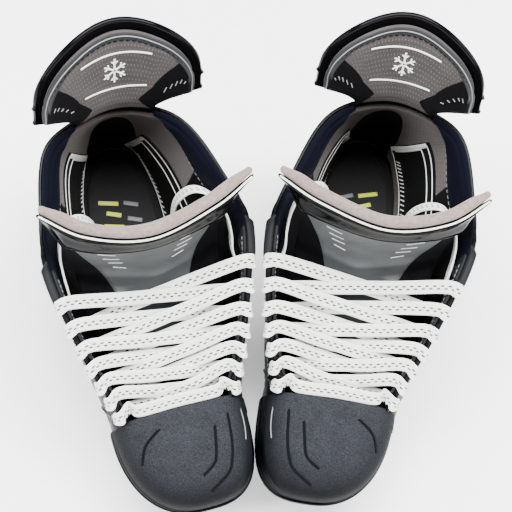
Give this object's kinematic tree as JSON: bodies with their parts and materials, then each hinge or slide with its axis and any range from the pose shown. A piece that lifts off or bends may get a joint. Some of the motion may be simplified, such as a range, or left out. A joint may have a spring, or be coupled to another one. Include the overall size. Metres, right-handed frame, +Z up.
{
  "type": "pair of ice skates",
  "caption": "Pair of laced ice hockey skates with wide open throats, felt tongues folded forward, flared tendon guards and removable steel runners.",
  "frame": {"origin": "on the ice, under the middle of the pair's bounding box", "axes": "+Z up, toes towards -Y and heels towards +Y, the wearer's left skate at +X and the right at -X; the pair mirrors about X = 0"},
  "size_m": [0.2792, 0.2794, 0.2864],
  "materials": {
    "toe_plastic": "fine leather-like grain, matte",
    "shell_composite": "glossy black composite",
    "outsole_composite": "satin black composite",
    "footbed_foam": "brushed knit over foam, lime and grey bars",
    "ankle_lining": "warm grey microfibre",
    "collar_knit": "dark navy knit over foam",
    "facing_trim": "dark grey, grooved",
    "eyelet_metal": "black enamel",
    "tongue_synthetic": "satin black synthetic, fine grain",
    "tongue_gloss": "glossy black",
    "tongue_felt": "pinkish taupe felt",
    "guard_plastic": "glossy black",
    "guard_fabric": "warm grey dotted knit",
    "lace_weave": "white flat weave with dark tracer dashes",
    "lace_tip_plastic": "clear film over white weave",
    "holder_plastic": "satin black",
    "rivet_steel": "bright",
    "runner_steel": "ground, polished faces",
    "trigger_plastic": "satin black"
  },
  "bodies": {
    "right_boot": {"right_toe_cap": "toe_plastic", "right_shell_outer": "shell_composite", "right_shell_inner": "shell_composite", "right_heel_counter": "shell_composite", "right_outsole": "outsole_composite", "right_footbed": "footbed_foam", "right_liner": "ankle_lining", "right_collar_pad_outer": "collar_knit", "right_collar_pad_inner": "collar_knit", "right_facing_outer": "facing_trim", "right_facing_inner": "facing_trim", "right_eyelets": "eyelet_metal", "right_tongue_base": "tongue_synthetic", "right_laces": "lace_weave", "right_lace_end_outer": "lace_weave", "right_lace_end_inner": "lace_weave", "right_lace_tips": "lace_tip_plastic", "right_holder": "holder_plastic", "right_sole_rivets": "rivet_steel", "right_trigger_pin": "rivet_steel", "right_trigger_spring": "rivet_steel"},
    "right_tongue": {"right_tongue_shell": "tongue_synthetic", "right_tongue_hood": "tongue_gloss", "right_tongue_felt": "tongue_felt"},
    "right_guard": {"right_tendon_guard": "guard_plastic", "right_guard_pad": "guard_fabric"},
    "right_runner": {"right_runner": "runner_steel"},
    "right_trigger": {"right_trigger": "trigger_plastic"},
    "left_boot": {"left_toe_cap": "toe_plastic", "left_shell_outer": "shell_composite", "left_shell_inner": "shell_composite", "left_heel_counter": "shell_composite", "left_outsole": "outsole_composite", "left_footbed": "footbed_foam", "left_liner": "ankle_lining", "left_collar_pad_outer": "collar_knit", "left_collar_pad_inner": "collar_knit", "left_facing_outer": "facing_trim", "left_facing_inner": "facing_trim", "left_eyelets": "eyelet_metal", "left_tongue_base": "tongue_synthetic", "left_laces": "lace_weave", "left_lace_end_outer": "lace_weave", "left_lace_end_inner": "lace_weave", "left_lace_tips": "lace_tip_plastic", "left_holder": "holder_plastic", "left_sole_rivets": "rivet_steel", "left_trigger_pin": "rivet_steel", "left_trigger_spring": "rivet_steel"},
    "left_tongue": {"left_tongue_shell": "tongue_synthetic", "left_tongue_hood": "tongue_gloss", "left_tongue_felt": "tongue_felt"},
    "left_guard": {"left_tendon_guard": "guard_plastic", "left_guard_pad": "guard_fabric"},
    "left_runner": {"left_runner": "runner_steel"},
    "left_trigger": {"left_trigger": "trigger_plastic"}
  },
  "joints": [
    {"name": "left_skate_slide", "type": "slide", "parent": "right_boot", "child": "left_boot", "axis": [1, 0, 0], "range_m": [0, 0.15]},
    {"name": "right_guard_flex", "type": "hinge", "parent": "right_boot", "child": "right_guard", "pos_m": [-0.09214, 0.10777, 0.21], "axis": [-0.9781, -0.2079, 0], "range_deg": [-5, 25], "stiffness_Nm_per_rad": 1},
    {"name": "right_tongue_flex", "type": "hinge", "parent": "right_boot", "child": "right_tongue", "pos_m": [-0.07249, 0.01534, 0.171], "axis": [0.9781, 0.2079, 0], "range_deg": [-3, 20], "stiffness_Nm_per_rad": 0.8},
    {"name": "right_runner_release", "type": "hinge", "parent": "right_boot", "child": "right_runner", "pos_m": [-0.0438, -0.11965, 0.024], "axis": [-0.9781, -0.2079, 0], "range_deg": [0, 7]},
    {"name": "right_trigger_pull", "type": "hinge", "parent": "right_boot", "child": "right_trigger", "pos_m": [-0.08913, 0.09359, 0.052], "axis": [-0.9781, -0.2079, 0], "range_deg": [0, 21], "stiffness_Nm_per_rad": 0.02},
    {"name": "left_guard_flex", "type": "hinge", "parent": "left_boot", "child": "left_guard", "pos_m": [0.09214, 0.10777, 0.21], "axis": [-0.9781, 0.2079, 0], "range_deg": [-5, 25], "stiffness_Nm_per_rad": 1},
    {"name": "left_tongue_flex", "type": "hinge", "parent": "left_boot", "child": "left_tongue", "pos_m": [0.07249, 0.01534, 0.171], "axis": [0.9781, -0.2079, 0], "range_deg": [-3, 20], "stiffness_Nm_per_rad": 0.8},
    {"name": "left_runner_release", "type": "hinge", "parent": "left_boot", "child": "left_runner", "pos_m": [0.0438, -0.11965, 0.024], "axis": [-0.9781, 0.2079, 0], "range_deg": [0, 7]},
    {"name": "left_trigger_pull", "type": "hinge", "parent": "left_boot", "child": "left_trigger", "pos_m": [0.08913, 0.09359, 0.052], "axis": [-0.9781, 0.2079, 0], "range_deg": [0, 21], "stiffness_Nm_per_rad": 0.02}
  ],
  "couplings": [
    {"joint": "right_trigger_pull", "follows": "right_runner_release", "ratio": 3},
    {"joint": "left_trigger_pull", "follows": "left_runner_release", "ratio": 3}
  ]
}
